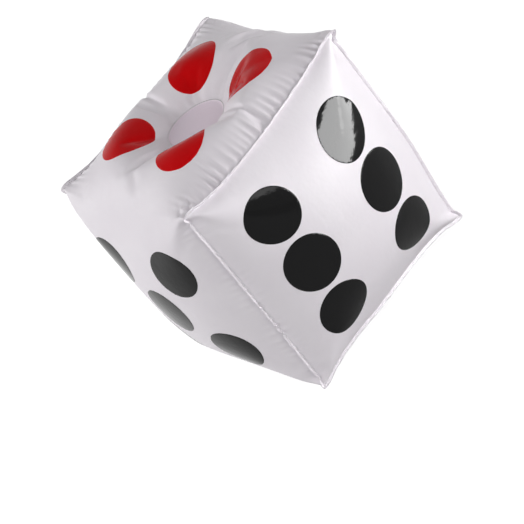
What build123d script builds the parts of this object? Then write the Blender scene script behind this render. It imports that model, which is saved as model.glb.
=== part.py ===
from build123d import *
import os
from math import sqrt

# A giant inflatable dice: a vinyl film cube blown up to about half a metre.
# One strip of film wraps faces 4, 5, 3 and 2. Two square end panels, faces 6 and 1, are welded
# into it with a narrow standing flange, and an inner tube ties the middles of faces 4 and 3.
# Frame: millimetres, +Z up. The dice lies on face 3, with the origin on the floor under its middle.
# Face 4 looks up, face 6 looks along +X, face 1 along -X, face 5 along -Y and face 2 along +Y.

# ---------------------------------------------------------------- driving dimensions
corner_half = 200.0  # middle of the dice to the flat plane through a face's four corners
seam_bow = 12.0  # how far the middle of a seam is drawn in from its corners
free_rise = 58.0  # crown of an untied face above its corners
tied_rise = 54.0  # crown that faces 4 and 3 would have without the tie's dimple

film = 0.3  # vinyl film
ink = 0.1  # printed layer of a pip, pressed flush into the film
flange_width = 3.5  # how far a welded flange stands out

tie_radius = 58.0  # round weld patch at each end of the tie
tie_sink = 6.0  # how far the tie holds its welds in from the corners' plane
crown_rise = 36.0  # flat top of the ring round the dimple, above the corners' plane
crown_inset = 72.0  # outside of that flat top, in from the face's edges
crown_width = 24.0
crown_lip_radius = 12.0  # bend of the ring's outer lip
crown_lip_run = 14.0  # how far the lip runs out
crown_lip_drop = 24.0  # and down, until it is under the face
dimple_top_radius = 12.0  # bend of the film from the ring into the dimple
dimple_foot_radius = 4.0  # bend of the film from the dimple onto the weld

tie_patch = 0.5  # reinforcing disc behind each weld
tie_rim = 8.0  # turned-out rim of the tube, welded to the disc
tie_lap_degrees = 9.0  # overlap where the tube's sheet is welded to itself
vent_radius = 18.0
vent_rows = 2
vents_per_row = 4
vent_row_spacing = 150.0

pip_radius = 49.0
one_pip_radius = 70.0  # the single pip is drawn larger
six_gap = 10.0  # between two pips in a row of three
six_rows = 192.0  # between the two rows
pip_spread = 184.0  # square that the corner pips of faces 2 and 5 stand on
tied_pip_spread = 172.0  # the same on faces 4 and 3

stem_radius = 6.0
stem_wall = 1.8
stem_depth = 15.0  # inner end of the pushed-in stem below the face
stem_proud = 0.3  # mouth of the pushed-in stem above the face
lip_overhang = 1.2  # how far the mouth's lip stands out from the stem
lip_thick = 1.5
mouth_gap = 3.8  # from the lip to the edge of the opening in the face
valve_weld = 4.0  # width of the ring welded behind the face
valve_base_thick = 0.8
skirt_thick = 0.6
skirt_gap = 0.3  # slack between the skirt and the stem that slides with it
plug_cap_thick = 1.5
plug_pin_length = 5.5
plug_pin_taper = 1.4  # how much narrower the pin's tip is than its root
plug_fit = 0.3  # radial slack of the plug's pin at the mouth
plug_tab_length = 3.2  # pull tab, out from the cap
plug_tab_width = 5.0
hinge_gap = 2.3  # from the lip out to the strap's bend line
strap_width = 4.0
strap_thick = 0.7
flap_inset = 0.6  # flap's edge in from the stem's outside
flap_crease_inset = 0.5  # flap's crease in from its edge
flap_thick = 0.4

# ---------------------------------------------------------------- places worked out from them
tie_half_length = corner_half - tie_sink
crown_height = corner_half + crown_rise
centre_height = crown_height
dimple_radius = tie_radius + dimple_foot_radius / 2
crown_outer = corner_half - crown_inset
crown_inner = crown_outer - crown_width
tie_patch_height = tie_half_length - film
tie_tube_height = tie_patch_height - tie_patch
tie_tube_radius = tie_radius - tie_rim
stem_bore = stem_radius - stem_wall
lip_radius = stem_radius + lip_overhang
valve_mouth_radius = lip_radius + mouth_gap
valve_base_radius = valve_mouth_radius + valve_weld
plug_pin_root = stem_bore - plug_fit
plug_tab_reach = lip_radius + plug_tab_length
plug_hinge_reach = lip_radius + hinge_gap
flap_radius = stem_radius - flap_inset
flap_hinge_reach = flap_radius - flap_crease_inset
six_pitch = 2 * pip_radius + six_gap
far = 2 * corner_half

FOUR = Plane(origin=(0, 0, centre_height), x_dir=(1, 0, 0), z_dir=(0, 0, 1))
THREE = Plane(origin=(0, 0, centre_height), x_dir=(1, 0, 0), z_dir=(0, 0, -1))
SIX = Plane(origin=(0, 0, centre_height), x_dir=(0, 1, 0), z_dir=(1, 0, 0))
ONE = Plane(origin=(0, 0, centre_height), x_dir=(0, -1, 0), z_dir=(-1, 0, 0))
TWO = Plane(origin=(0, 0, centre_height), x_dir=(-1, 0, 0), z_dir=(0, 1, 0))
FIVE = Plane(origin=(0, 0, centre_height), x_dir=(1, 0, 0), z_dir=(0, -1, 0))
SECTION = FIVE  # upright plane through the middle, for what is turned about the tie
TIE_AXIS = Axis((0, 0, centre_height), (0, 0, 1))
VALVE = Plane(origin=(0, corner_half + free_rise, centre_height), x_dir=(-1, 0, 0), z_dir=(0, 1, 0))
VALVE_SECTION = Plane(origin=VALVE.origin, x_dir=(1, 0, 0), z_dir=(0, 0, 1))
VALVE_SIDE = Plane(origin=VALVE.origin, x_dir=(0, 0, 1), z_dir=(-1, 0, 0))
VALVE_AXIS = Axis(VALVE.origin, (0, 1, 0))
CLOSING_SEAM = Plane(origin=(0, 0, centre_height), x_dir=(1, 0, 0), z_dir=(0, 1, 1))

os.makedirs("parts", exist_ok=True)


# ---------------------------------------------------------------- the inflated shape
def bulged_face(plane, rise, layer):
    """One blown-up face as a curved patch, layer mm outside the film; its edges are the seam arcs."""
    reach = corner_half + layer
    across = (-1, 0, 1)
    swell = (0, 2, 0)
    rows = []
    for i in range(3):
        row = []
        for j in range(3):
            along_x = across[i] * (reach - seam_bow * swell[j])
            along_y = across[j] * (reach - seam_bow * swell[i])
            seam_level = reach - seam_bow * (swell[i] + swell[j])
            crown = (rise + 2 * seam_bow) * swell[i] * swell[j]
            row.append(plane.from_local_coords(Vector(along_x, along_y, seam_level + crown)))
        rows.append(row)
    return Face.make_bezier_surface(rows)


def pillow(layer):
    """The closed shape of the six blown-up faces, without the tie's dimples."""
    tied = [bulged_face(plane, tied_rise, layer) for plane in (FOUR, THREE)]
    free = [bulged_face(plane, free_rise, layer) for plane in (SIX, ONE, TWO, FIVE)]
    return Solid(Shell(tied + free))


def turned_about_tie(outline, layer, corners):
    """A solid of revolution from half an outline, grown by layer, then rounded at its named corners."""
    with BuildPart() as turned:
        with BuildSketch(SECTION) as section:
            with BuildLine():
                Polyline(*outline, close=True)
            make_face()
            mirror(about=Plane.YZ)
            if layer:
                offset(amount=layer, kind=Kind.INTERSECTION)
            split(bisect_by=Plane.YZ, keep=Keep.TOP)
            for corner, radius in corners:
                nearest = section.vertices().sort_by_distance(corner)
                fillet(nearest[0], radius=radius)
        revolve(axis=TIE_AXIS)
    return turned.part


def body(layer):
    """The dice's whole outer shape, layer mm outside the film, with both dimples."""
    floor = (0, tie_half_length)
    foot = (dimple_radius, tie_half_length)
    top = (crown_inner, crown_height)
    lip = (crown_outer, crown_height)
    lip_end = (crown_outer + crown_lip_run, crown_height - crown_lip_drop)
    inside = tie_half_length / 2
    mid_crown = (crown_inner + crown_outer) / 2
    bends = [(foot, dimple_foot_radius - layer), (top, dimple_top_radius + layer)]
    ring = [(0, inside), floor, foot, top, lip, lip_end, (lip_end[0], inside)]
    hollow = [floor, foot, top, (mid_crown, crown_height), (mid_crown, far), (0, far)]
    ring_turned = turned_about_tie(ring, layer, bends + [(lip, crown_lip_radius + layer)])
    hollow_turned = turned_about_tie(hollow, -layer, bends)
    with BuildPart() as whole:
        add(pillow(layer))
        add(ring_turned)
        add(mirror(ring_turned, about=FOUR, mode=Mode.PRIVATE))
        add(hollow_turned, mode=Mode.SUBTRACT)
        add(mirror(hollow_turned, about=FOUR, mode=Mode.PRIVATE), mode=Mode.SUBTRACT)
    return whole.part


def end_wedge(plane, margin):
    """The pyramid from the dice's middle out through an end face, less margin all round."""
    near = corner_half / 2
    with BuildPart() as wedge:
        with BuildSketch(plane.offset(near)):
            Rectangle(2 * (near - margin), 2 * (near - margin))
        extrude(amount=far - near, taper=-45)
    return wedge.part


outer = body(0)
under_film = body(-film)
under_ink = body(-ink)
with BuildPart() as film_shell:
    add(outer)
    add(under_film, mode=Mode.SUBTRACT)
with BuildPart() as flange_zone:
    add(pillow(flange_width / sqrt(2)))
    add(pillow(-film / 2), mode=Mode.SUBTRACT)
with BuildPart() as print_zone:
    add(outer)
    add(under_ink, mode=Mode.SUBTRACT)

# ---------------------------------------------------------------- printed pips
def pips(label, plane, places, radius):
    """The round spots of one face, pressed into the blown-up film."""
    with BuildPart() as spots:
        with BuildSketch(plane.offset(tie_half_length / 2)):
            with Locations(*places):
                Circle(radius)
        extrude(amount=far)
        add(print_zone.part, mode=Mode.INTERSECT)
    spots.part.label = label
    export_step(spots.part, f"parts/{label}.step")
    return spots.part


def on_square(spread, *signs):
    """Places on the corners of a square, each given by its two signs."""
    return [(across * spread / 2, up * spread / 2) for across, up in signs]


corners = [(1, 1), (-1, 1), (-1, -1), (1, -1)]
six_places = [(side * six_rows / 2, step * six_pitch) for side in (-1, 1) for step in (-1, 0, 1)]
one = pips("pips_one", ONE, [(0, 0)], one_pip_radius)
two = pips("pips_two", TWO, on_square(pip_spread, (1, 1), (-1, -1)), pip_radius)
three = pips("pips_three", THREE, [(0, 0)] + on_square(tied_pip_spread, (1, 1), (-1, -1)), pip_radius)
four = pips("pips_four", FOUR, on_square(tied_pip_spread, *corners), pip_radius)
five = pips("pips_five", FIVE, [(0, 0)] + on_square(pip_spread, *corners), pip_radius)
six = pips("pips_six", SIX, six_places, pip_radius)

mitre_margin = film * sqrt(2)


# ---------------------------------------------------------------- film panels
def end_flange(plane, inner_margin, outer_margin):
    """The standing flange round one end panel, between two margins from the mitre of its corner."""
    outer_wedge = end_wedge(plane, outer_margin)
    inner_wedge = end_wedge(plane, inner_margin)
    with BuildPart() as flange:
        add(flange_zone.part)
        add(outer_wedge, mode=Mode.INTERSECT)
        add(inner_wedge, mode=Mode.SUBTRACT)
    return flange.part


def end_panel(label, plane, spots):
    """One square panel, with its own layer of the welded flange round it."""
    own_flange = end_flange(plane, mitre_margin, 0)
    wedge = end_wedge(plane, 0)
    with BuildPart() as panel:
        add(film_shell.part)
        add(wedge, mode=Mode.INTERSECT)
        add(own_flange)
        add(spots, mode=Mode.SUBTRACT)
    panel.part.label = label
    export_step(panel.part, f"parts/{label}.step")


end_panel("end_panel_six", SIX, six)
end_panel("end_panel_one", ONE, one)

end_wedges = [end_wedge(plane, 0) for plane in (SIX, ONE)]
strip_flanges = [end_flange(plane, 0, -mitre_margin) for plane in (SIX, ONE)]

# The strip's two ends are welded to each other along the edge between faces 3 and 2.
with BuildPart() as closing_flange:
    with BuildSketch(CLOSING_SEAM):
        with Locations((0, far)):
            Rectangle(2 * far, 2 * corner_half)
    extrude(amount=film, both=True)
    add(flange_zone.part, mode=Mode.INTERSECT)
    add(end_wedges, mode=Mode.SUBTRACT)

with BuildPart() as wrap:
    add(film_shell.part)
    add(end_wedges, mode=Mode.SUBTRACT)
    add(strip_flanges)
    add(closing_flange.part)
    add([two, three, four, five], mode=Mode.SUBTRACT)
    with BuildSketch(TWO.offset(corner_half)):
        Circle(valve_mouth_radius)
    extrude(amount=corner_half, mode=Mode.SUBTRACT)
wrap.part.label = "wrap_panel"
export_step(wrap.part, "parts/wrap_panel.step")


# ---------------------------------------------------------------- inner tie
def tie_disc(label, plane):
    """The reinforcing disc welded behind the middle of a tied face."""
    with BuildPart() as disc:
        with BuildSketch(plane.offset(tie_tube_height)):
            Circle(tie_radius)
        extrude(amount=tie_patch)
    disc.part.label = label
    export_step(disc.part, f"parts/{label}.step")


tie_disc("tie_disc_four", FOUR)
tie_disc("tie_disc_three", THREE)

with BuildPart() as tie_tube:
    with BuildSketch(SECTION):
        with Locations((tie_tube_radius - film / 2, 0)):
            Rectangle(film, 2 * tie_tube_height)
        rim_middle = (tie_tube_radius + tie_radius) / 2
        with Locations((rim_middle, tie_tube_height - film / 2), (rim_middle, film / 2 - tie_tube_height)):
            Rectangle(tie_radius - tie_tube_radius, film)
    revolve(axis=TIE_AXIS)
    with BuildSketch(SECTION):
        with Locations((tie_tube_radius + film / 2, 0)):
            Rectangle(film, 2 * tie_tube_height)
    revolve(axis=TIE_AXIS, revolution_arc=tie_lap_degrees)
    for row in range(vent_rows):
        row_height = centre_height + (row - (vent_rows - 1) / 2) * vent_row_spacing
        with Locations((0, 0, row_height)):
            with PolarLocations(tie_tube_radius, vents_per_row, start_angle=180 / vents_per_row):
                Cylinder(vent_radius, tie_tube_radius, rotation=(0, 90, 0), mode=Mode.SUBTRACT)
tie_tube.part.label = "tie_tube"
export_step(tie_tube.part, "parts/tie_tube.step")


# ---------------------------------------------------------------- valve, pushed in and closed
mouth_sag = (free_rise + seam_bow) * (valve_mouth_radius / (corner_half - seam_bow)) ** 2

with BuildPart() as valve_base:
    add(pillow(-film))
    add(pillow(-film - valve_base_thick), mode=Mode.SUBTRACT)
    with BuildSketch(TWO.offset(corner_half)):
        Circle(valve_base_radius)
        Circle(valve_mouth_radius, mode=Mode.SUBTRACT)
    extrude(amount=corner_half, mode=Mode.INTERSECT)
valve_base.part.label = "valve_base"
export_step(valve_base.part, "parts/valve_base.step")

skirt_top = -mouth_sag - film
skirt_inner = stem_radius + skirt_gap
with BuildPart() as valve_skirt:
    with BuildSketch(VALVE_SECTION):
        with BuildLine():
            Polyline(
                (valve_mouth_radius, skirt_top),
                (skirt_inner, skirt_thick - stem_depth),
                (skirt_inner, -stem_depth),
                (valve_mouth_radius, skirt_top - skirt_thick),
                close=True,
            )
        make_face()
    revolve(axis=VALVE_AXIS)
valve_skirt.part.label = "valve_skirt"
export_step(valve_skirt.part, "parts/valve_skirt.step")

with BuildPart() as valve_stem:
    with BuildSketch(VALVE.offset(-stem_depth)):
        Circle(stem_radius)
    extrude(amount=stem_depth + stem_proud)
    with BuildSketch(VALVE.offset(stem_proud)):
        Circle(lip_radius)
    extrude(amount=-lip_thick)
    with BuildSketch(VALVE.offset(stem_proud)):
        Circle(stem_bore)
    extrude(amount=-stem_depth - stem_proud, mode=Mode.SUBTRACT)
valve_stem.part.label = "valve_stem"
export_step(valve_stem.part, "parts/valve_stem.step")

with BuildPart() as valve_plug:
    with BuildSketch(VALVE.offset(stem_proud)):
        Circle(lip_radius)
        with Locations((0, -plug_tab_reach / 2)):
            Rectangle(plug_tab_width, plug_tab_reach)
    extrude(amount=plug_cap_thick)
    with BuildSketch(VALVE_SECTION):
        with BuildLine():
            Polyline(
                (0, stem_proud),
                (plug_pin_root, stem_proud),
                (plug_pin_root - plug_pin_taper, stem_proud - plug_pin_length),
                (0, stem_proud - plug_pin_length),
                close=True,
            )
        make_face()
    revolve(axis=VALVE_AXIS)
    tab_corners = valve_plug.edges().filter_by(Axis.Y).sort_by(Axis.Z)[:2]
    fillet(tab_corners, radius=plug_tab_width / 3)
valve_plug.part.label = "valve_plug"
export_step(valve_plug.part, "parts/valve_plug.step")

strap_gap = strap_thick / 2
strap_reach = plug_hinge_reach + strap_thick / 2
with BuildPart() as plug_strap:
    with BuildSketch(VALVE_SIDE):
        with Locations((strap_reach / 2, stem_proud)):
            Rectangle(strap_reach, 2 * strap_thick + strap_gap)
            with Locations((-strap_thick, 0)):
                Rectangle(strap_reach, strap_gap, mode=Mode.SUBTRACT)
    extrude(amount=strap_width / 2, both=True)
    with BuildSketch(VALVE.offset(-lip_radius)):
        Circle(lip_radius)
    extrude(amount=2 * lip_radius, mode=Mode.SUBTRACT)
plug_strap.part.label = "plug_strap"
export_step(plug_strap.part, "parts/plug_strap.step")

with BuildPart() as valve_flap:
    with BuildSketch(VALVE.offset(-stem_depth)):
        Circle(flap_radius)
        with Locations((0, flap_hinge_reach - flap_radius)):
            Rectangle(2 * flap_radius, 2 * flap_radius, mode=Mode.INTERSECT)
    extrude(amount=-flap_thick)
valve_flap.part.label = "valve_flap"
export_step(valve_flap.part, "parts/valve_flap.step")
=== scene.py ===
import math

import bmesh
import bpy
import numpy as np
from mathutils import Matrix, Vector


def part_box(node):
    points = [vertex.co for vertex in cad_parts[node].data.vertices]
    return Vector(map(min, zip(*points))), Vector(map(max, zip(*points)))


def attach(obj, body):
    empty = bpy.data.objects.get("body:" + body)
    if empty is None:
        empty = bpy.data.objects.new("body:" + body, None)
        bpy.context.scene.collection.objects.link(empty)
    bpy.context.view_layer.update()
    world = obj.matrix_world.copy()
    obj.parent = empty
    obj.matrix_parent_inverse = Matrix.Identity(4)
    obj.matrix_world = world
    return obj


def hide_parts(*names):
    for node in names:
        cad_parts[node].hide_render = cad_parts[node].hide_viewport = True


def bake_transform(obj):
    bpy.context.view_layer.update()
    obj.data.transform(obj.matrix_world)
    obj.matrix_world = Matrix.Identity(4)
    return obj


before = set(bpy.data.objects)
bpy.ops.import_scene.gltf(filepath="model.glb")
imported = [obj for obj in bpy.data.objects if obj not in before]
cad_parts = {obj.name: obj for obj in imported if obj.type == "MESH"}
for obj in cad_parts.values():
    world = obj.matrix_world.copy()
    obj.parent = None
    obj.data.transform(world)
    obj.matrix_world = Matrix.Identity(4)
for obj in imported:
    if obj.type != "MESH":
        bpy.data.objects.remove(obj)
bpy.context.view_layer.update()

# The giant inflatable dice. Six flat faces of film are cut, domed and blown up by a cloth
# simulation while the inner tie holds the middles of faces 4 and 3 in. The blown-up film is
# then parted into the pieces that are welded together: the wrap and the two end panels.
# Each face is measured across its flat-cut film, in metres from its own middle.

# ---------------------------------------------------------------- sizes
film_edge = 0.405  # flat-cut side of a face
half_edge = film_edge / 2
touching = 1e-6  # points nearer to each other than this are one
on_edge = half_edge - touching  # a place of the cut film past this is on a face or an edge
cells = 42  # squares along a side while the film is blown up
fine_steps = 2  # times each square is halved afterwards
free_dome = 0.05  # how far an untied face is cut to swell
tied_dome = 0.082
film = 0.0003  # thickness of the film
flange_width = 0.0055
flange_lean = 0.36  # how far the flange leans over the plain faces for each step out

tie_radius = 0.058
tie_spread = 0.135  # where the rings of squares round the tie have turned square again
tie_slack = 0.001  # how near to the tie's radius a point counts as on its weld
seam_crease, fold_crease, weld_crease = 0.9, 0.45, 0.7  # how sharp each stays when halved

pip_radius = 0.0495
one_pip_radius = 0.0705
six_row = 0.094  # how far each row of three pips is from the middle of face 6
six_pitch = 0.1085  # from pip to pip along it
pip_corner = 0.093  # how far a corner pip is from the middle of its face, across and up
tied_pip_corner = 0.091
print_lift = 0.00028  # how far the print's outer side stands off the film's
print_thick = 0.0002
pip_sides = 72
pip_margin = 0.001  # how far round a pip the film is kept before the pip is cut out

blow_frames = 40  # steps of blowing up
tie_pull_frames = 14  # steps in which the tie's welds are drawn in
squeeze = 0.006  # how high up the film that the floor presses flat reaches

# Each face: the axis it looks along, and its own across and up directions.
FACES = {
    "four": (Vector((0, 0, 1)), Vector((1, 0, 0)), Vector((0, 1, 0))),
    "three": (Vector((0, 0, -1)), Vector((1, 0, 0)), Vector((0, -1, 0))),
    "six": (Vector((1, 0, 0)), Vector((0, 1, 0)), Vector((0, 0, 1))),
    "one": (Vector((-1, 0, 0)), Vector((0, -1, 0)), Vector((0, 0, 1))),
    "two": (Vector((0, 1, 0)), Vector((-1, 0, 0)), Vector((0, 0, 1))),
    "five": (Vector((0, -1, 0)), Vector((1, 0, 0)), Vector((0, 0, 1))),
}
TIED = ("four", "three")  # the faces that the inner tie holds in
ENDS = ("six", "one")  # the faces that are panels of their own

wrap_low, wrap_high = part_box("wrap_panel")
six_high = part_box("end_panel_six")[1]
disc_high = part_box("tie_disc_four")[1]
middle = Vector((0, 0, (wrap_low.z + wrap_high.z) / 2))
reach_x = six_high.x
reach_y = wrap_high.y
tie_half_length = disc_high.z + film - middle.z


def smooth(low, high, value):
    """0 below low, 1 above high, and an even rise between."""
    share = np.clip((value - low) / (high - low), 0, 1)
    return share * share * (3 - 2 * share)


# ---------------------------------------------------------------- cutting and blowing up the film
def ring_place(x, y):
    """A square of the tied face's grid, drawn round so that its rings follow the tie's weld."""
    square_reach = max(abs(x), abs(y))
    if square_reach == 0:
        return x, y
    round_share = 1 - float(smooth(tie_radius, tie_spread, square_reach))
    pull = 1 + (square_reach / math.hypot(x, y) - 1) * round_share
    return x * pull, y * pull


def cut_film():
    """The six faces of film as a flat-sided cube, with each point's place on the flat film kept."""
    bm = bmesh.new()
    bmesh.ops.create_cube(bm, size=film_edge)
    bmesh.ops.subdivide_edges(bm, edges=bm.edges[:], cuts=cells - 1, use_grid_fill=True)
    flat = bm.verts.layers.float_vector.new("flat")
    crease = bm.edges.layers.float.new("crease_edge")
    for v in bm.verts:
        if abs(v.co.z) > on_edge:
            v.co.x, v.co.y = ring_place(v.co.x, v.co.y)
        v[flat] = v.co
    for e in bm.edges:
        a, b = (v.co for v in e.verts)
        on_x, on_y, on_z = (min(abs(a[k]), abs(b[k])) > on_edge for k in range(3))
        if on_x and (on_y or on_z):
            e[crease] = seam_crease
        elif on_y and on_z:
            e[crease] = fold_crease
        elif on_z and all(abs(math.hypot(p.x, p.y) - tie_radius) < tie_slack for p in (a, b)):
            e[crease] = weld_crease
    mesh = bpy.data.meshes.new("cut_film")
    bm.to_mesh(mesh)
    bm.free()
    return mesh


def domed(place):
    """The place of a point of the cut film once its face has been cut to swell."""
    looks = max(range(3), key=lambda k: abs(place[k]))
    across, up = (place[k] / half_edge for k in range(3) if k != looks)
    dome = tied_dome if looks == 2 else free_dome
    swelled = place.copy()
    swelled[looks] += math.copysign(dome * (1 - across**2) * (1 - up**2), place[looks])
    return swelled


def blow_up(mesh):
    """The film blown up tight, with the two welds of the tie drawn in on the way."""
    places = [Vector(d.vector) for d in mesh.attributes["flat"].data]
    for v, place in zip(mesh.vertices, places):
        v.co = domed(place)
    bladder = bpy.data.objects.new("bladder", mesh)
    bpy.context.scene.collection.objects.link(bladder)
    welds = bladder.vertex_groups.new(name="welds")
    bladder.shape_key_add(name="cut")
    tied = bladder.shape_key_add(name="tied")
    for i, place in enumerate(places):
        if abs(place.z) > on_edge and math.hypot(place.x, place.y) < tie_radius + tie_slack:
            welds.add([i], 1.0, "REPLACE")
            tied.data[i].co = (place.x, place.y, math.copysign(tie_half_length, place.z))
    tied.value = 0
    tied.keyframe_insert("value", frame=1)
    tied.value = 1
    tied.keyframe_insert("value", frame=tie_pull_frames)
    cloth = bladder.modifiers.new("blown", "CLOTH")
    film_set = cloth.settings
    film_set.quality = 6
    film_set.mass = 0.3
    film_set.tension_stiffness = 40
    film_set.compression_stiffness = 40
    film_set.shear_stiffness = 20
    film_set.bending_stiffness = 0.02
    film_set.tension_damping = 25
    film_set.compression_damping = 25
    film_set.shear_damping = 25
    film_set.bending_damping = 0.5
    film_set.air_damping = 5
    film_set.use_pressure = True
    film_set.uniform_pressure_force = 10
    film_set.vertex_group_mass = "welds"
    film_set.effector_weights.gravity = 0
    cloth.collision_settings.use_collision = False
    cloth.point_cache.frame_start = 1
    cloth.point_cache.frame_end = blow_frames
    bpy.context.scene.frame_start = 1
    bpy.context.scene.frame_end = blow_frames
    for step in range(1, blow_frames + 1):
        bpy.context.scene.frame_set(step)
    result = bladder.evaluated_get(bpy.context.evaluated_depsgraph_get())
    blown = bpy.data.meshes.new_from_object(result)
    bpy.data.objects.remove(bladder)
    bpy.context.scene.frame_set(1)
    return blown


# ---------------------------------------------------------------- numbers in and out of a mesh
def points_of(mesh):
    """The places of a mesh's points, one row each."""
    co = np.zeros(len(mesh.vertices) * 3)
    mesh.vertices.foreach_get("co", co)
    return co.reshape(-1, 3)


def flat_places(mesh):
    """Where each point was on the cut film."""
    flat = np.zeros(len(mesh.vertices) * 3)
    mesh.attributes["flat"].data.foreach_get("vector", flat)
    return flat.reshape(-1, 3)


def put_points(mesh, co):
    mesh.vertices.foreach_set("co", co.reshape(-1))
    mesh.update()


def on_face(flat, face):
    """Which points lie on a face, and where they are across and up it."""
    looks, across, up = (np.array(v) for v in FACES[face])
    on = flat @ looks > on_edge
    return on, flat @ across, flat @ up


# ---------------------------------------------------------------- settling the blown-up shape
seam_bow = 0.021  # how far the middles of the end panels' seams are drawn in by the tie
fold_bow = 0.012  # the same on the plain folds
bow_heights = (0.06, 0.19)  # the heights between which they start to be drawn in
bow_reaches = (0.07, 0.195)  # the distances from the middle between which they do
corner_stretch = 0.03  # how much taller the dice is made away from the tie
stretch_reach = 2.5 * tie_radius  # how far from the tie's middle it is all of that

# How this dice differs from an even one: each pull's place on the cut cube in half faces, how
# far it moves the film, how wide it reaches, and whether only the film by the seams follows it.
PULLS = [
    ((1, 1, 1), (-0.010, 0.006, 0.022), 0.14, True),
    ((-1, 1, 1), (0, 0.012, 0.007), 0.12, True),
    ((0, 1, 1), (0, 0.009, 0.001), 0.10, True),
    ((1, 1, -1), (-0.008, -0.006, 0.004), 0.10, True),
    ((1, 1, 0), (0.002, 0.015, 0), 0.10, True),
    ((1, 0, 1), (-0.002, 0, 0.008), 0.10, True),
    ((0.7, 1, 0.1), (0, -0.009, 0), 0.08, False),
    ((-1, 0.75, 1), (-0.002, 0, 0.019), 0.08, False),
    ((-0.9, -0.4, 1), (0, 0, 0.013), 0.09, False),
    ((-0.75, -1, 0.75), (0, -0.009, 0), 0.07, False),
    ((0.45, -0.4, 1), (0.004, 0.004, 0.004), 0.06, False),
    ((0.45, 0.45, 1), (-0.004, -0.004, 0), 0.06, False),
    ((0, 0, 1), (-0.003, -0.008, 0), 0.10, False),
]
seam_reach = 0.07  # how far in from a seam the film counts as by it


def pull_about(co, flat):
    """Corners that stand higher, lobes that swell more and a tie that sits off centre."""
    from_seam = half_edge - np.sort(np.abs(flat), axis=1)[:, 1]
    by_seam = np.exp(-((from_seam / seam_reach) ** 2) / 2)
    for place, pull, reach, seams_only in PULLS:
        away = np.linalg.norm(flat - np.array(place) * half_edge, axis=1)
        share = np.exp(-((away / reach) ** 2) / 2)
        if seams_only:
            share = share * by_seam
        co += share[:, None] * np.array(pull)


def settle(mesh):
    """The blown-up film brought to the dice's own size, its seams drawn in beside each tie."""
    co, flat = points_of(mesh), flat_places(mesh)
    co[:, 0] *= reach_x / np.abs(co[:, 0]).max()
    co[:, 1] *= reach_y / np.abs(co[:, 1]).max()
    off_tie = smooth(tie_radius, stretch_reach, np.hypot(co[:, 0], co[:, 1]))
    co[:, 2] *= 1 + corner_stretch * off_tie
    level = smooth(*bow_heights, np.abs(co[:, 2]))
    along_y = 1 - np.clip(flat[:, 1] / half_edge, -1, 1) ** 2
    along_x = 1 - np.clip(flat[:, 0] / half_edge, -1, 1) ** 2
    beside_seam = smooth(*bow_reaches, np.abs(co[:, 0])) * along_y
    beside_fold = smooth(*bow_reaches, np.abs(co[:, 1])) * along_x
    co[:, 2] -= np.sign(co[:, 2]) * level * (seam_bow * beside_seam + fold_bow * beside_fold)
    pull_about(co, flat)
    put_points(mesh, co)


def refine(mesh):
    """The film with each square halved over and over, its seams and welds kept sharp."""
    rough = bpy.data.objects.new("rough_film", mesh)
    bpy.context.scene.collection.objects.link(rough)
    halving = rough.modifiers.new("halving", "SUBSURF")
    halving.levels = halving.render_levels = fine_steps
    result = rough.evaluated_get(bpy.context.evaluated_depsgraph_get())
    fine = bpy.data.meshes.new_from_object(result)
    bpy.data.objects.remove(rough)
    return fine


# ---------------------------------------------------------------- folds, puckers and dents
pucker_fan = 0.35  # how much puckers spread for each metre in from their seam
pucker_drift = 0.006  # how far one may stray along its seam
pucker_power = 0.8  # shapes the ridges and valleys: the lower, the narrower the ridges
pucker_start = 0.006  # how far in from the seam one has its whole height
pucker_heights, pucker_lengths = (0.75, 0.35), (0.85, 0.25)  # their mean shares, and how uneven
corner_calm = 14  # the higher this is, the nearer to the corners puckers go
fold_edge = 1.3  # 1 for a fold as sharp as a tent, 2 for one as round as a hill
waver_step = 1.7  # how far out of step the sines of a drift are


def waver(value, *turns):
    """An uneven, repeatable drift of up to one either way; the turns are its waves' lengths."""
    waves = (np.sin(value / turn + waver_step * k) for k, turn in enumerate(turns))
    return sum(waves) / len(turns)


def seam_puckers(depth, along, pitch, height, length):
    """Gathers that run in from a seam; depth is measured in from it."""
    fan = along / (1 - pucker_fan * depth)
    drift = pucker_drift * waver(along, 0.031, 0.017, 0.011)
    phase = math.pi * (fan + drift) / pitch
    ridge = 1 - 2 * np.abs(np.sin(phase)) ** pucker_power
    uneven = pucker_heights[0] + pucker_heights[1] * waver(along, 0.023, 0.009)
    reach = length * (pucker_lengths[0] + pucker_lengths[1] * waver(along, 0.019, 0.013))
    fade = smooth(0, pucker_start, depth) * np.exp(-((np.clip(depth, 0, None) / reach) ** 2) * 2)
    ends = 1 - np.clip(np.abs(along) / half_edge, 0, 1) ** corner_calm
    return height * ridge * uneven * fade * ends


def fold_line(across, up, start, end, height, width, eases):
    """A crease between two places of a face; a negative height is a valley."""
    run = np.array(end) - np.array(start)
    length = np.hypot(*run)
    along = ((across - start[0]) * run[0] + (up - start[1]) * run[1]) / length
    aside = ((across - start[0]) * run[1] - (up - start[1]) * run[0]) / length
    taper = smooth(0, eases[0], along) * smooth(0, eases[1], length - along)
    return height * taper * np.exp(-np.abs(aside / width) ** fold_edge)


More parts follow.
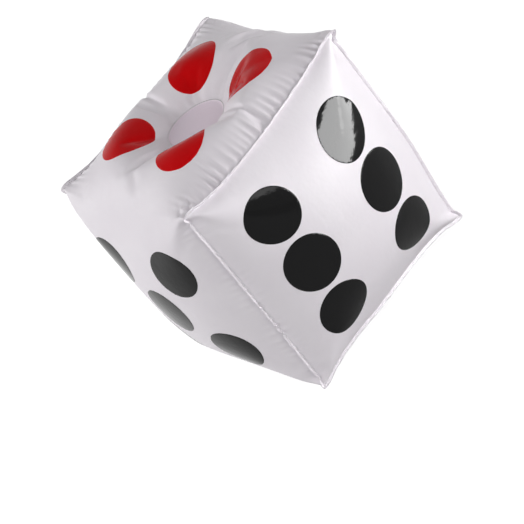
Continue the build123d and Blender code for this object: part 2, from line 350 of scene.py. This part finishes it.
# The folds of a tied face: start, end, height, width and how gently each end dies away.
TIED_FOLDS = [
    # the sharp fold from the knot beside the tie out to the seam, and the rib below it
    ((0.052, 0.026), (0.202, 0.010), -0.0052, 0.0055, (0.006, 0.012)),
    ((0.053, 0.016), (0.200, 0.001), 0.0030, 0.0040, (0.008, 0.030)),
    ((0.056, 0.036), (0.130, 0.034), 0.0024, 0.0065, (0.010, 0.050)),
    # two hollows on the far side of the tie
    ((-0.084, 0.010), (-0.190, 0.004), -0.0046, 0.0055, (0.030, 0.030)),
    ((-0.088, 0.000), (-0.180, -0.005), 0.0024, 0.0050, (0.030, 0.040)),
    ((-0.082, -0.011), (-0.165, -0.016), -0.0036, 0.0050, (0.025, 0.035)),
    # the curved rib by the upper fold, with fainter ones beside it
    ((-0.056, 0.132), (0.006, 0.192), 0.0066, 0.0046, (0.040, 0.026)),
    ((-0.018, 0.172), (0.052, 0.199), 0.0048, 0.0046, (0.030, 0.035)),
    ((-0.040, 0.126), (0.036, 0.188), -0.0042, 0.0080, (0.035, 0.030)),
    ((-0.060, 0.138), (-0.008, 0.190), 0.0040, 0.0042, (0.028, 0.028)),
    ((-0.080, 0.142), (-0.034, 0.188), 0.0032, 0.0042, (0.026, 0.026)),
    ((-0.100, 0.143), (-0.062, 0.181), 0.0024, 0.0042, (0.022, 0.022)),
    # below the tie
    ((0.006, -0.064), (0.002, -0.150), -0.0030, 0.0070, (0.020, 0.050)),
    ((-0.014, -0.068), (-0.020, -0.140), 0.0018, 0.0060, (0.020, 0.050)),
    # the dents of a seam's corner
    ((0.199, -0.186), (0.164, -0.160), -0.0042, 0.0050, (0.006, 0.020)),
    ((0.186, -0.199), (0.156, -0.176), -0.0034, 0.0050, (0.006, 0.020)),
    ((0.192, -0.168), (0.172, -0.192), 0.0026, 0.0040, (0.008, 0.008)),
    ((0.176, 0.200), (0.150, 0.176), -0.0030, 0.0050, (0.006, 0.020)),
    ((0.200, 0.180), (0.180, 0.150), -0.0028, 0.0050, (0.006, 0.020)),
]


# The puckers in from a face's edges, first at its two sides, then above and below: their
# pitch, height and length.
TIED_PUCKERS = ((0.0142, 0.0027, 0.066), (0.019, 0.0004, 0.035))
END_PUCKERS = ((0.0125, 0.0006, 0.030), (0.0145, 0.0003, 0.016))
PLAIN_PUCKERS = ((0.0125, 0.0009, 0.036), (0.017, 0.00035, 0.02))
tied_shift = 0.003  # how far a tied face's side puckers are moved, so that the two sides differ

gather_count = 22
gather_drift = 1.5  # how far one may stray round the tie
gather_height = 0.0004
gather_start = 0.008  # how far out from the tie's weld its gathers have their whole height
gather_reach = 0.022  # how far out they run
weld_bead = 0.0011  # how proud the rim of the tie's round weld is
bead_width = 0.0018
weld_rim = 0.0016  # half the width of the fine line along that rim
rolling = 0.00035  # how uneven the rest of the film is
seam_calm = 0.004  # how near to a seam or weld all of it dies away


def round_tie(across, up):
    """The gathers that run out from the tie's round weld."""
    radius, turn = np.hypot(across, up), np.arctan2(up, across)
    starts = smooth(tie_radius, tie_radius + gather_start, radius)
    gathers = np.sin(gather_count * turn + gather_drift * waver(turn, 0.21, 0.5)) * starts
    return gather_height * gathers * np.exp(-((radius - tie_radius) / gather_reach).clip(0) ** 2)


def crumple(mesh):
    """Everything the tight film does between its seams, moved in along its own normals."""
    co, flat = points_of(mesh), flat_places(mesh)
    normals = np.zeros(len(co) * 3)
    mesh.vertex_normals.foreach_get("vector", normals)
    normals = normals.reshape(-1, 3)
    move = np.zeros(len(co))
    for face in FACES:
        on, across, up = on_face(flat, face)
        tied = face in TIED
        from_rim = half_edge - np.maximum(np.abs(across), np.abs(up))
        at_sides, at_ends = TIED_PUCKERS if tied else END_PUCKERS if face in ENDS else PLAIN_PUCKERS
        shift = tied_shift if tied else 0
        here = np.zeros(len(co))
        for side in (-1, 1):
            here += seam_puckers(half_edge - side * across, up + shift * side, *at_sides)
            here += seam_puckers(half_edge - side * up, across, *at_ends)
        if tied:
            here += round_tie(across, up)
            for fold in TIED_FOLDS:
                here += fold_line(across, up, *fold)
        aslant, upright = across + 0.3 * up, up - 0.4 * across
        here += rolling * waver(aslant, 0.021, 0.034) * waver(upright, 0.027, 0.016)
        here *= smooth(0, seam_calm, from_rim)
        if tied:
            off_weld = np.hypot(across, up) - tie_radius
            here *= smooth(-tie_slack, seam_calm, off_weld)
            here += weld_bead * np.exp(-((off_weld / bead_width) ** 2))
        move = np.where(on, move + here, move)
    co += normals * move[:, None]
    put_points(mesh, co)


def rest_on_floor(mesh):
    """The dice in its place, with the film and print it lies on pressed flat against the floor."""
    co = points_of(mesh)
    co[:, 2] += middle.z
    low = co[:, 2] < squeeze
    pressed = np.exp((co[low, 2] - squeeze) / squeeze)
    flattest = pressed.min()
    co[low, 2] = print_lift + (squeeze - print_lift) * (pressed - flattest) / (1 - flattest)
    put_points(mesh, co)


# ---------------------------------------------------------------- the valve's opening in face 2
skirt_low, skirt_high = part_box("valve_skirt")
mouth_radius = skirt_high.x
mouth_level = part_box("valve_base")[1].y + film
valve_rings = 5  # rings of fine squares inside the opening
valve_calm = 0.06  # how far round it the film is smooth
round_reach = 4  # how many times the opening's size its rings take to turn square again
dome_reach, dome_share = 0.19, 0.27  # the calm film is this share of a dome of this reach
mouth_dome = (reach_y - middle.y) / dome_reach**2 * dome_share
calm_start = 0.35  # the share of the calm's reach in which the film is all of the dome


def open_mouth(bm):
    """The round opening for the valve, cut through the middle of face 2."""
    flat = bm.verts.layers.float_vector["flat"]
    step = film_edge / (cells * 2**fine_steps)
    mouth = valve_rings * step
    inside = []
    for v in bm.verts:
        place = v[flat]
        if place.y < on_edge:
            continue
        square_reach = max(abs(place.x), abs(place.z))
        if square_reach > valve_calm:
            continue
        if square_reach < mouth - step / 2:
            inside.append(v)
            continue
        radius = math.hypot(v.co.x, v.co.z - middle.z)
        if square_reach < round_reach * mouth:
            round_share = 1 - float(smooth(mouth, round_reach * mouth, square_reach))
            wanted = mouth_radius + (square_reach - mouth)
            pull = 1 + (wanted / radius - 1) * round_share
            v.co.x *= pull
            v.co.z = middle.z + (v.co.z - middle.z) * pull
            radius *= pull
        calm = 1 - float(smooth(valve_calm * calm_start, valve_calm, radius))
        level = mouth_level + mouth_dome * (mouth_radius**2 - radius**2)
        v.co.y += (level - v.co.y) * calm
    bmesh.ops.delete(bm, geom=inside, context="VERTS")


# ---------------------------------------------------------------- the valve's soft parts
strap_low, strap_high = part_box("plug_strap")
stem_radius = 0.006
skirt_gap = 0.0004  # how clear of the stem the skirt's foot stays
skirt_wall = 0.0006
skirt_rows, skirt_steps = 16, 108
skirt_bulge = 0.09  # how far the funnel's side is bowed
skirt_flutes = 18
flute_depth = 0.00022
strap_wall = 0.0007
strap_strips, strap_bend_steps, strap_leg_steps = 8, 14, 5


def soft_skirt():
    """The funnel of thin vinyl that joins the valve's mouth to its stem, in shallow flutes."""
    bm = bmesh.new()
    foot = stem_radius + (skirt_low.x + skirt_high.x) / 2 + skirt_gap
    line = []
    for row in range(skirt_rows + 1):
        down = row / skirt_rows
        bowed = down + skirt_bulge * math.sin(2 * math.pi * down)
        radius = skirt_high.x + (foot - skirt_high.x) * bowed
        level = skirt_high.y + (skirt_low.y + skirt_wall - skirt_high.y) * down
        line.append(bm.verts.new((radius, level, middle.z)))
    edges = [bm.edges.new(pair) for pair in zip(line, line[1:])]
    bmesh.ops.spin(
        bm, geom=line + edges, cent=(0, 0, middle.z), axis=(0, 1, 0), angle=2 * math.pi,
        steps=skirt_steps, use_merge=True,
    )
    bmesh.ops.remove_doubles(bm, verts=bm.verts[:], dist=touching)
    for v in bm.verts:
        turn = math.atan2(v.co.z - middle.z, v.co.x)
        down = (skirt_high.y - v.co.y) / (skirt_high.y - skirt_low.y)
        deep = flute_depth * math.sin(math.pi * down) ** 2
        flute = 1 + deep * math.sin(skirt_flutes * turn) / skirt_high.x
        v.co.x *= flute
        v.co.z = middle.z + (v.co.z - middle.z) * flute
    bmesh.ops.recalc_face_normals(bm, faces=bm.faces[:])
    bmesh.ops.solidify(bm, geom=bm.faces[:], thickness=skirt_wall)
    return finished("soft_skirt", bm)


def soft_strap():
    """The little strap that holds the plug to the stem's lip, bent back on itself."""
    bm = bmesh.new()
    bend_level = (strap_low.y + strap_high.y) / 2
    inside = (strap_high.y - strap_low.y) / 2 - strap_wall
    bend_out = strap_high.z - strap_wall - inside
    width = strap_high.x - strap_low.x
    across = [strap_low.x + width * k / strap_strips for k in range(strap_strips + 1)]
    line = [bm.verts.new((x, bend_level - inside, bend_out)) for x in across]
    edges = [bm.edges.new(pair) for pair in zip(line, line[1:])]
    bmesh.ops.spin(
        bm, geom=line + edges, cent=(0, bend_level, bend_out), axis=(1, 0, 0), angle=-math.pi,
        steps=strap_bend_steps,
    )
    leg_step = (strap_low.z - bend_out) / strap_leg_steps
    for step in range(strap_leg_steps):
        open_edges = [e for e in bm.edges if e.is_boundary]
        ends = [e for e in open_edges if all(v.co.z < bend_out + touching for v in e.verts)]
        ends = [e for e in ends if abs(e.verts[0].co.x - e.verts[1].co.x) > touching]
        grown = bmesh.ops.extrude_edge_only(bm, edges=ends)["geom"]
        new = [g for g in grown if isinstance(g, bmesh.types.BMVert)]
        bmesh.ops.translate(bm, verts=new, vec=(0, 0, leg_step))
    bmesh.ops.recalc_face_normals(bm, faces=bm.faces[:])
    bmesh.ops.solidify(bm, geom=bm.faces[:], thickness=-strap_wall)
    return finished("soft_strap", bm)


# ---------------------------------------------------------------- parting the film into its pieces
closing_lean = Vector((0, 1, 1)).normalized()  # the way that the closing flange sways
side_sways = ((0.0003, 0.0071), (0.0002, 0.0043))  # how far a side flange sways, and its wave
closing_sway, closing_wave = 0.0004, 0.0083  # the same for the closing flange
sway_climb = 1.3  # how much faster the waves follow each other up a side than along it
lean_ends = 0.03  # how far from a corner a flange stops leaning


def look_of(face_centre):
    """Which face of the dice a piece of film belongs to, from its place on the flat film."""
    return max(FACES, key=lambda name: face_centre.dot(FACES[name][0]))


def on_closing_seam(place):
    """Whether a place of the cut film is on the edge between faces 3 and 2."""
    return place.y > on_edge and place.z < -on_edge


def with_flange_directions(mesh):
    """The blown-up film as a bmesh that knows, on each seam, which way the welded flange stands."""
    bm = bmesh.new()
    bm.from_mesh(mesh)
    flat = bm.verts.layers.float_vector["flat"]
    out = bm.verts.layers.float_vector.new("flange_out")
    apart = bm.verts.layers.float_vector.new("flange_apart")
    panel = bm.faces.layers.int.new("panel")
    names = list(FACES)
    for f in bm.faces:
        centre = sum((v[flat] for v in f.verts), Vector()) / len(f.verts)
        f[panel] = names.index(look_of(centre))
    ends = [names.index(face) for face in ENDS]
    for v in bm.verts:
        if abs(v[flat].x) < on_edge and not on_closing_seam(v[flat]):
            continue
        of_end = sum((f.normal for f in v.link_faces if f[panel] in ends), Vector())
        of_wrap = sum((f.normal for f in v.link_faces if f[panel] not in ends), Vector())
        if of_wrap.length == 0:
            continue
        v[out] = (of_end.normalized() + of_wrap.normalized()).normalized()
        if of_end.length:
            v[apart] = (of_end.normalized() - of_wrap.normalized()).normalized()
    return bm


def stand_flange(bm, side):
    """The welded margin of a piece of film, standing out along its open edge."""
    flat = bm.verts.layers.float_vector["flat"]
    out = bm.verts.layers.float_vector["flange_out"]
    apart = bm.verts.layers.float_vector["flange_apart"]
    rim = [e for e in bm.edges if e.is_boundary and all(abs(v[flat].x) > on_edge for v in e.verts)]
    for part in range(2):
        grown = bmesh.ops.extrude_edge_only(bm, edges=rim)["geom"]
        rim = [g for g in grown if isinstance(g, bmesh.types.BMEdge) and g.is_boundary]
        rim_verts = {g for g in grown if isinstance(g, bmesh.types.BMVert)}
        for v in rim_verts:
            along = v[flat].y + sway_climb * v[flat].z
            sway = sum(far * math.sin(along / wave) for far, wave in side_sways)
            upright = float(smooth(half_edge - lean_ends, half_edge, abs(v[flat].z)))
            lean = flange_lean * (1 - upright)
            aside = sway * (part + 1) / 2 - lean * flange_width / 2
            v.co += v[out] * (flange_width / 2) + v[apart] * aside
            if part == 0:
                v.co += v[apart] * (side * film)
        rim = [e for e in rim if all(v in rim_verts for v in e.verts)]


def part_of(skin, panels):
    """A copy of the named panels of the film."""
    bm = skin.copy()
    panel = bm.faces.layers.int["panel"]
    names = list(FACES)
    wanted = [names.index(p) for p in panels]
    bmesh.ops.delete(bm, geom=[f for f in bm.faces if f[panel] not in wanted], context="FACES")
    return bm


def film_piece(name, skin, panels, side):
    """Panels of film with their welded margin, as thick as film."""
    bm = part_of(skin, panels)
    if "two" in panels:
        open_mouth(bm)
    stand_flange(bm, side)
    piece = finished(name, bm)
    wall = piece.modifiers.new("wall", "SOLIDIFY")
    wall.thickness = film
    wall.offset = -1
    return piece


def finished(name, bm):
    """A bmesh made into a shaded object of the dice."""
    mesh = bpy.data.meshes.new(name)
    bm.to_mesh(mesh)
    bm.free()
    mesh.polygons.foreach_set("use_smooth", [True] * len(mesh.polygons))
    for layer in ("flange_out", "flange_apart", "panel"):
        if layer in mesh.attributes:
            mesh.attributes.remove(mesh.attributes[layer])
    piece = bpy.data.objects.new(name, mesh)
    bpy.context.scene.collection.objects.link(piece)
    return piece


def closing_flange(name, skin):
    """The flange where the wrap's two ends are welded, along the edge between faces 3 and 2."""
    bm = skin.copy()
    flat = bm.verts.layers.float_vector["flat"]
    out = bm.verts.layers.float_vector["flange_out"]
    off_seam = [e for e in bm.edges if not all(on_closing_seam(v[flat]) for v in e.verts)]
    bmesh.ops.delete(bm, geom=bm.faces[:], context="FACES_ONLY")
    bmesh.ops.delete(bm, geom=off_seam, context="EDGES")
    bmesh.ops.delete(bm, geom=[v for v in bm.verts if not v.link_edges], context="VERTS")
    for v in bm.verts:
        v.co -= v[out] * film
    grown = bmesh.ops.extrude_edge_only(bm, edges=bm.edges[:])["geom"]
    for v in (g for g in grown if isinstance(g, bmesh.types.BMVert)):
        sway = closing_sway * math.sin(v[flat].x / closing_wave)
        v.co += v[out] * (flange_width + film) + closing_lean * sway
    bmesh.ops.recalc_face_normals(bm, faces=bm.faces[:])
    piece = finished(name, bm)
    wall = piece.modifiers.new("wall", "SOLIDIFY")
    wall.thickness = 2 * film
    wall.offset = 0
    return piece


# ---------------------------------------------------------------- printed pips
def print_pips(name, skin, face, places, radius):
    """The round spots of one face, cut from the flat film and carried onto the blown-up one."""
    looks, across, up = FACES[face]
    panel = part_of(skin, [face])
    lifted = panel.verts.layers.float_vector.new("lifted")
    flat = panel.verts.layers.float_vector["flat"]
    for v in panel.verts:
        v[lifted] = v.co + v.normal * print_lift
        v.co = v[flat]
    all_spots = bmesh.new()
    gathered = bpy.data.meshes.new("spots")
    for middle_across, middle_up in places:
        bm = panel.copy()
        lifted = bm.verts.layers.float_vector["lifted"]
        centre = looks * half_edge + across * middle_across + up * middle_up
        kept = radius + pip_margin
        far_off = [f for f in bm.faces if min((v.co - centre).length for v in f.verts) > kept]
        bmesh.ops.delete(bm, geom=far_off, context="FACES")
        for k in range(pip_sides):
            turn = 2 * math.pi * k / pip_sides
            direction = across * math.cos(turn) + up * math.sin(turn)
            bmesh.ops.bisect_plane(
                bm, geom=bm.verts[:] + bm.edges[:] + bm.faces[:], dist=touching,
                plane_co=centre + direction * radius, plane_no=direction, clear_outer=True,
            )
        for v in bm.verts:
            v.co = v[lifted]
        bm.to_mesh(gathered)
        bm.free()
        all_spots.from_mesh(gathered)
    panel.free()
    piece = finished(name, all_spots)
    ink = piece.modifiers.new("ink", "SOLIDIFY")
    ink.thickness = print_thick
    ink.offset = -1
    return piece


# ---------------------------------------------------------------- materials
SMOOTH, CREASED = "FBM", "RIDGED_MULTIFRACTAL"  # kinds of ripple
EVEN, WIDE = (1, 1, 1), (0.22, 0.22, 1)  # how ripples are scaled along x, y and z
COLOUR_SHARE, COLOUR_FIRST, COLOUR_SECOND, COLOUR_MIXED = 0, 6, 7, 2  # a Mix node's sockets
VALUE_SHARE, VALUE_FIRST, VALUE_SECOND, VALUE_MIXED = 0, 2, 3, 0  # the same for plain values
weld_edge = 0.0015  # the width over which the weld's tint fades out
weld_rim_rise = 0.6 * weld_rim


def material(name, colour, roughness, specular=0.5):
    """A new material with its shader, for the makers below to add to."""
    made = bpy.data.materials.new(name)
    made.use_nodes = True
    shader = made.node_tree.nodes["Principled BSDF"]
    shader.inputs["Base Color"].default_value = (*colour, 1)
    shader.inputs["Roughness"].default_value = roughness
    shader.inputs["Specular IOR Level"].default_value = specular
    return made, made.node_tree, shader


def mottled(tree, shader, colour, darker, scale):
    """A faint cloudiness in the colour, as film has."""
    where = tree.nodes.new("ShaderNodeTexCoord")
    cloud = tree.nodes.new("ShaderNodeTexNoise")
    cloud.inputs["Scale"].default_value = scale
    cloud.inputs["Detail"].default_value = 3.0
    ramp = tree.nodes.new("ShaderNodeValToRGB")
    ramp.color_ramp.elements[0].position = 0.35
    ramp.color_ramp.elements[0].color = (*darker, 1)
    ramp.color_ramp.elements[1].position = 0.65
    ramp.color_ramp.elements[1].color = (*colour, 1)
    tree.links.new(where.outputs["Object"], cloud.inputs["Vector"])
    tree.links.new(cloud.outputs["Fac"], ramp.inputs["Fac"])
    tree.links.new(ramp.outputs["Color"], shader.inputs["Base Color"])
    return where


def rippled(tree, shader, where, ripples):
    """Shallow unevenness of the sheet, each layer given by its kind, scale, depth and stretch."""
    bumped = None
    for kind, scale, depth, stretch in ripples:
        place = tree.nodes.new("ShaderNodeMapping")
        place.inputs["Scale"].default_value = stretch
        noise = tree.nodes.new("ShaderNodeTexNoise")
        noise.noise_type = kind
        noise.inputs["Scale"].default_value = scale
        noise.inputs["Detail"].default_value = 2.0
        bump = tree.nodes.new("ShaderNodeBump")
        bump.inputs["Strength"].default_value = 1.0
        bump.inputs["Distance"].default_value = depth
        tree.links.new(where.outputs["Object"], place.inputs["Vector"])
        tree.links.new(place.outputs["Vector"], noise.inputs["Vector"])
        tree.links.new(noise.outputs["Fac"], bump.inputs["Height"])
        if bumped is not None:
            tree.links.new(bumped, bump.inputs["Normal"])
        bumped = bump.outputs["Normal"]
    tree.links.new(bumped, shader.inputs["Normal"])


def weld_marked(tree, shader, tint):
    """The tie's round weld: two films melted into one, of another tint, inside a raised rim."""
    cut = tree.nodes.new("ShaderNodeAttribute")
    cut.attribute_name = "flat"
    across = tree.nodes.new("ShaderNodeVectorMath")
    across.operation = "MULTIPLY"
    across.inputs[1].default_value = (1, 1, 0)
    radius = tree.nodes.new("ShaderNodeVectorMath")
    radius.operation = "LENGTH"
    tree.links.new(cut.outputs["Vector"], across.inputs[0])
    tree.links.new(across.outputs[0], radius.inputs[0])
    inside = tree.nodes.new("ShaderNodeMapRange")
    inside.inputs["From Min"].default_value = tie_radius - weld_edge
    inside.inputs["From Max"].default_value = tie_radius
    inside.inputs["To Min"].default_value = 1
    inside.inputs["To Max"].default_value = 0
    tree.links.new(radius.outputs["Value"], inside.inputs["Value"])
    paint = tree.nodes.new("ShaderNodeMix")
    paint.data_type = "RGBA"
    paint.inputs[COLOUR_SECOND].default_value = (*tint, 1)
    plain = shader.inputs["Base Color"].links[0].from_socket
    tree.links.new(inside.outputs["Result"], paint.inputs[COLOUR_SHARE])
    tree.links.new(plain, paint.inputs[COLOUR_FIRST])
    tree.links.new(paint.outputs[COLOUR_MIXED], shader.inputs["Base Color"])
    off_rim = tree.nodes.new("ShaderNodeMath")
    off_rim.operation = "SUBTRACT"
    off_rim.inputs[1].default_value = tie_radius
    apart = tree.nodes.new("ShaderNodeMath")
    apart.operation = "ABSOLUTE"
    rim = tree.nodes.new("ShaderNodeMapRange")
    rim.interpolation_type = "SMOOTHSTEP"
    rim.inputs["From Min"].default_value = 0
    rim.inputs["From Max"].default_value = weld_rim
    rim.inputs["To Min"].default_value = 1
    rim.inputs["To Max"].default_value = 0
    raised = tree.nodes.new("ShaderNodeBump")
    raised.inputs["Strength"].default_value = 1
    raised.inputs["Distance"].default_value = weld_rim_rise
    tree.links.new(radius.outputs["Value"], off_rim.inputs[0])
    tree.links.new(off_rim.outputs[0], apart.inputs[0])
    tree.links.new(apart.outputs[0], rim.inputs["Value"])
    tree.links.new(rim.outputs["Result"], raised.inputs["Height"])
    tree.links.new(shader.inputs["Normal"].links[0].from_socket, raised.inputs["Normal"])
    tree.links.new(raised.outputs["Normal"], shader.inputs["Normal"])


def white_vinyl():
    """The film that the dice is made of."""
    made, tree, shader = material("glossy_white_film", (0.85, 0.81, 0.85), 0.42, specular=0.085)
    where = mottled(tree, shader, (0.865, 0.826, 0.868), (0.835, 0.792, 0.838), 9.0)
    rippled(tree, shader, where, [
        (SMOOTH, 22.0, 0.0009, WIDE),
        (SMOOTH, 45.0, 0.0006, EVEN),
        (SMOOTH, 160.0, 0.00012, EVEN),
    ])
    weld_marked(tree, shader, (0.93, 0.825, 0.92))
    return made


def printed(name, colour, darker, gloss):
    """Glossy ink on the film."""
    made, tree, shader = material(name, colour, 0.08, specular=gloss)
    where = mottled(tree, shader, colour, darker, 14.0)
    rippled(tree, shader, where, [
        (CREASED, 9.0, 0.0005, EVEN),
        (SMOOTH, 38.0, 0.0004, EVEN),
        (SMOOTH, 150.0, 0.00012, EVEN),
    ])
    return made


def soft_vinyl(name, colour, darker, roughness):
    """Plain vinyl with a fine grain, for the valve and the inner tie."""
    made, tree, shader = material(name, colour, roughness)
    where = mottled(tree, shader, colour, darker, 120.0)
    rippled(tree, shader, where, [(SMOOTH, 700.0, 0.00004, EVEN)])
    return made


WHITE = white_vinyl()
BLACK = printed("black_ink", (0.0024, 0.0024, 0.0028), (0.0015, 0.0015, 0.0017), 0.14)
RED = printed("red_ink", (0.62, 0.0, 0.002), (0.56, 0.0, 0.001), 0.04)
VALVE = soft_vinyl("moulded_valve", (0.80, 0.79, 0.81), (0.76, 0.75, 0.77), 0.42)
INNER = soft_vinyl("inner_sheet", (0.76, 0.76, 0.78), (0.72, 0.72, 0.74), 0.36)

# ---------------------------------------------------------------- making the dice
blown_film = blow_up(cut_film())
settle(blown_film)
fine_film = refine(blown_film)
crumple(fine_film)
rest_on_floor(fine_film)
skin = with_flange_directions(fine_film)

wrap = film_piece("wrap_film", skin, ("four", "five", "three", "two"), -1)
end_six = film_piece("end_film_six", skin, ("six",), 1)
end_one = film_piece("end_film_one", skin, ("one",), 1)
closing = closing_flange("closing_flange", skin)


def on_square(reach, *signs):
    """Places at the named corners of a square round a face's middle."""
    return [(a * reach, b * reach) for a, b in signs]


corners = [(1, 1), (-1, 1), (-1, -1), (1, -1)]
far_corners = [(1, 1), (-1, -1)]
six_places = [(side * six_row, step * six_pitch) for side in (-1, 1) for step in (-1, 0, 1)]
PIPS = [
    ("one", [(0, 0)], one_pip_radius, RED, "red_print"),
    ("two", on_square(pip_corner, *far_corners), pip_radius, BLACK, "black_print"),
    ("three", [(0, 0)] + on_square(tied_pip_corner, *far_corners), pip_radius, BLACK, "black_print"),
    ("four", on_square(tied_pip_corner, *corners), pip_radius, RED, "red_print"),
    ("five", [(0, 0)] + on_square(pip_corner, *corners), pip_radius, BLACK, "black_print"),
    ("six", six_places, pip_radius, BLACK, "black_print"),
]
for face, places, radius, ink, slot in PIPS:
    spots = print_pips(f"{face}_pips", skin, face, places, radius)
    spots.data.materials.append(ink)
    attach(spots, "dice_body")
    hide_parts(f"pips_{face}")

for piece, nodes in (
    (wrap, ("wrap_panel",)),
    (end_six, ("end_panel_six",)),
    (end_one, ("end_panel_one",)),
    (closing, ()),
):
    piece.data.materials.append(WHITE)
    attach(piece, "dice_body")
    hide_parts(*nodes)

skirt, strap = soft_skirt(), soft_strap()
skirt_mouth = Vector((0, skirt_high.y, middle.z))
skirt_foot = Vector((0, skirt_low.y + skirt_wall, middle.z))
strap_near = Vector((0, strap_low.y + strap_wall, strap_low.z))
strap_far = Vector((0, strap_high.y - strap_wall, strap_low.z))
for piece, node, bodies, start, end in (
    (skirt, "valve_skirt", ("dice_body", "valve_stem"), skirt_mouth, skirt_foot),
    (strap, "plug_strap", ("valve_stem", "valve_plug"), strap_near, strap_far),
):
    piece.data.materials.append(VALVE)
    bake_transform(piece)
    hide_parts(node)

for node, finish in (
    ("tie_tube", INNER), ("tie_disc_four", INNER), ("tie_disc_three", INNER),
    ("valve_base", VALVE), ("valve_stem", VALVE), ("valve_plug", VALVE), ("valve_flap", VALVE),
):
    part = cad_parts[node]
    part.data.materials.clear()
    part.data.materials.append(finish)

# ---------------------------------------------------------------- floor, light and camera
# The camera looks down on the dice and is rolled, so that the dice seems to stand on a corner.
look = Vector((-0.8221, 0.2848, -0.4930)).normalized()
right = Vector((0.5488, 0.6269, -0.5530))
right = (right - look * right.dot(look)).normalized()
above = right.cross(look)
view_distance = 3.1396
view_left, view_down = 0.0047, -0.1045

lens = bpy.data.cameras.new("camera")
camera = bpy.data.objects.new("camera", lens)
bpy.context.scene.collection.objects.link(camera)
place = middle - right * view_left + above * view_down - look * view_distance
camera.matrix_world = Matrix(
    (
        (right.x, above.x, -look.x, place.x),
        (right.y, above.y, -look.y, place.y),
        (right.z, above.z, -look.z, place.z),
        (0, 0, 0, 1),
    )
)
lens.sensor_width = 36
lens.lens = 124.74
lens.clip_end = 200
bpy.context.scene.camera = camera


def seen_by_camera(tree):
    """One for the rays that show the surroundings: the camera's, and those in gloss and glass."""
    rays = tree.nodes.new("ShaderNodeLightPath")
    total = rays.outputs["Is Camera Ray"]
    for kind in ("Is Glossy Ray", "Is Transmission Ray"):
        either = tree.nodes.new("ShaderNodeMath")
        either.operation = "MAXIMUM"
        tree.links.new(total, either.inputs[0])
        tree.links.new(rays.outputs[kind], either.inputs[1])
        total = either.outputs[0]
    return total


floor_reach = 60
pale_colour = 0.45  # the floor's grey as it lights the dice
pale_colour_seen, pale_glow = 0.34, 0.86  # its grey and glow for the rays that show it
sky_light, sky_seen = 0.08, 1.0  # the same two strengths for the sky

bm = bmesh.new()
bmesh.ops.create_grid(bm, x_segments=1, y_segments=1, size=floor_reach)
floor_mesh = bpy.data.meshes.new("floor")
bm.to_mesh(floor_mesh)
bm.free()
floor = bpy.data.objects.new("floor", floor_mesh)
bpy.context.scene.collection.objects.link(floor)
pale, pale_tree, pale_shader = material("pale_floor", (pale_colour,) * 3, 0.9, specular=0.0)
seen = seen_by_camera(pale_tree)
paint = pale_tree.nodes.new("ShaderNodeMix")
paint.data_type = "RGBA"
paint.inputs[COLOUR_FIRST].default_value = (*(pale_colour,) * 3, 1)
paint.inputs[COLOUR_SECOND].default_value = (*(pale_colour_seen,) * 3, 1)
pale_tree.links.new(seen, paint.inputs[COLOUR_SHARE])
pale_tree.links.new(paint.outputs[COLOUR_MIXED], pale_shader.inputs["Base Color"])
pale_shader.inputs["Emission Color"].default_value = (1, 1, 1, 1)
glow = pale_tree.nodes.new("ShaderNodeMath")
glow.operation = "MULTIPLY"
glow.inputs[1].default_value = pale_glow
pale_tree.links.new(seen, glow.inputs[0])
pale_tree.links.new(glow.outputs[0], pale_shader.inputs["Emission Strength"])
floor_mesh.materials.append(pale)

world = bpy.data.worlds.new("studio")
bpy.context.scene.world = world
world.use_nodes = True
sky = world.node_tree.nodes["Background"]
sky.inputs["Color"].default_value = (1, 1, 1, 1)
strength = world.node_tree.nodes.new("ShaderNodeMix")
strength.inputs[VALUE_FIRST].default_value = sky_light
strength.inputs[VALUE_SECOND].default_value = sky_seen
world.node_tree.links.new(seen_by_camera(world.node_tree), strength.inputs[VALUE_SHARE])
world.node_tree.links.new(strength.outputs[VALUE_MIXED], sky.inputs["Strength"])


def softbox(name, direction, distance, size, power, lights_film=True, mirrored=True):
    """A lamp that faces the middle of the dice from a direction; its power is in watts."""
    lamp = bpy.data.lights.new(name, "AREA")
    lamp.shape = "RECTANGLE"
    lamp.size, lamp.size_y = size
    lamp.energy = power
    holder = bpy.data.objects.new(name, lamp)
    bpy.context.scene.collection.objects.link(holder)
    way = Vector(direction).normalized()
    holder.location = middle + way * distance
    holder.rotation_euler = way.to_track_quat("Z", "Y").to_euler()
    holder.visible_diffuse = lights_film
    holder.visible_glossy = mirrored


side_size = (1.6, 1.2)
softbox("key", (0.90, 0.06, 0.49), 2.8, (1.5, 1.3), 26)
softbox("window", (0.64, 0.74, 0.12), 2.6, (1.3, 1.0), 37.5)
softbox("left", (-0.62, -0.55, 0.55), 2.8, side_size, 40)
softbox("front", (0.15, -0.97, 0.20), 2.8, side_size, 23)
softbox("back", (-0.95, 0.25, 0.10), 2.8, side_size, 16, mirrored=False)
# a window pane that shows only as a mirrored shape in the print
softbox("pane", (0.79, 0.60, 0.075), 1.2, (1.0, 0.62), 62, lights_film=False)

bpy.context.scene.view_settings.view_transform = "Standard"
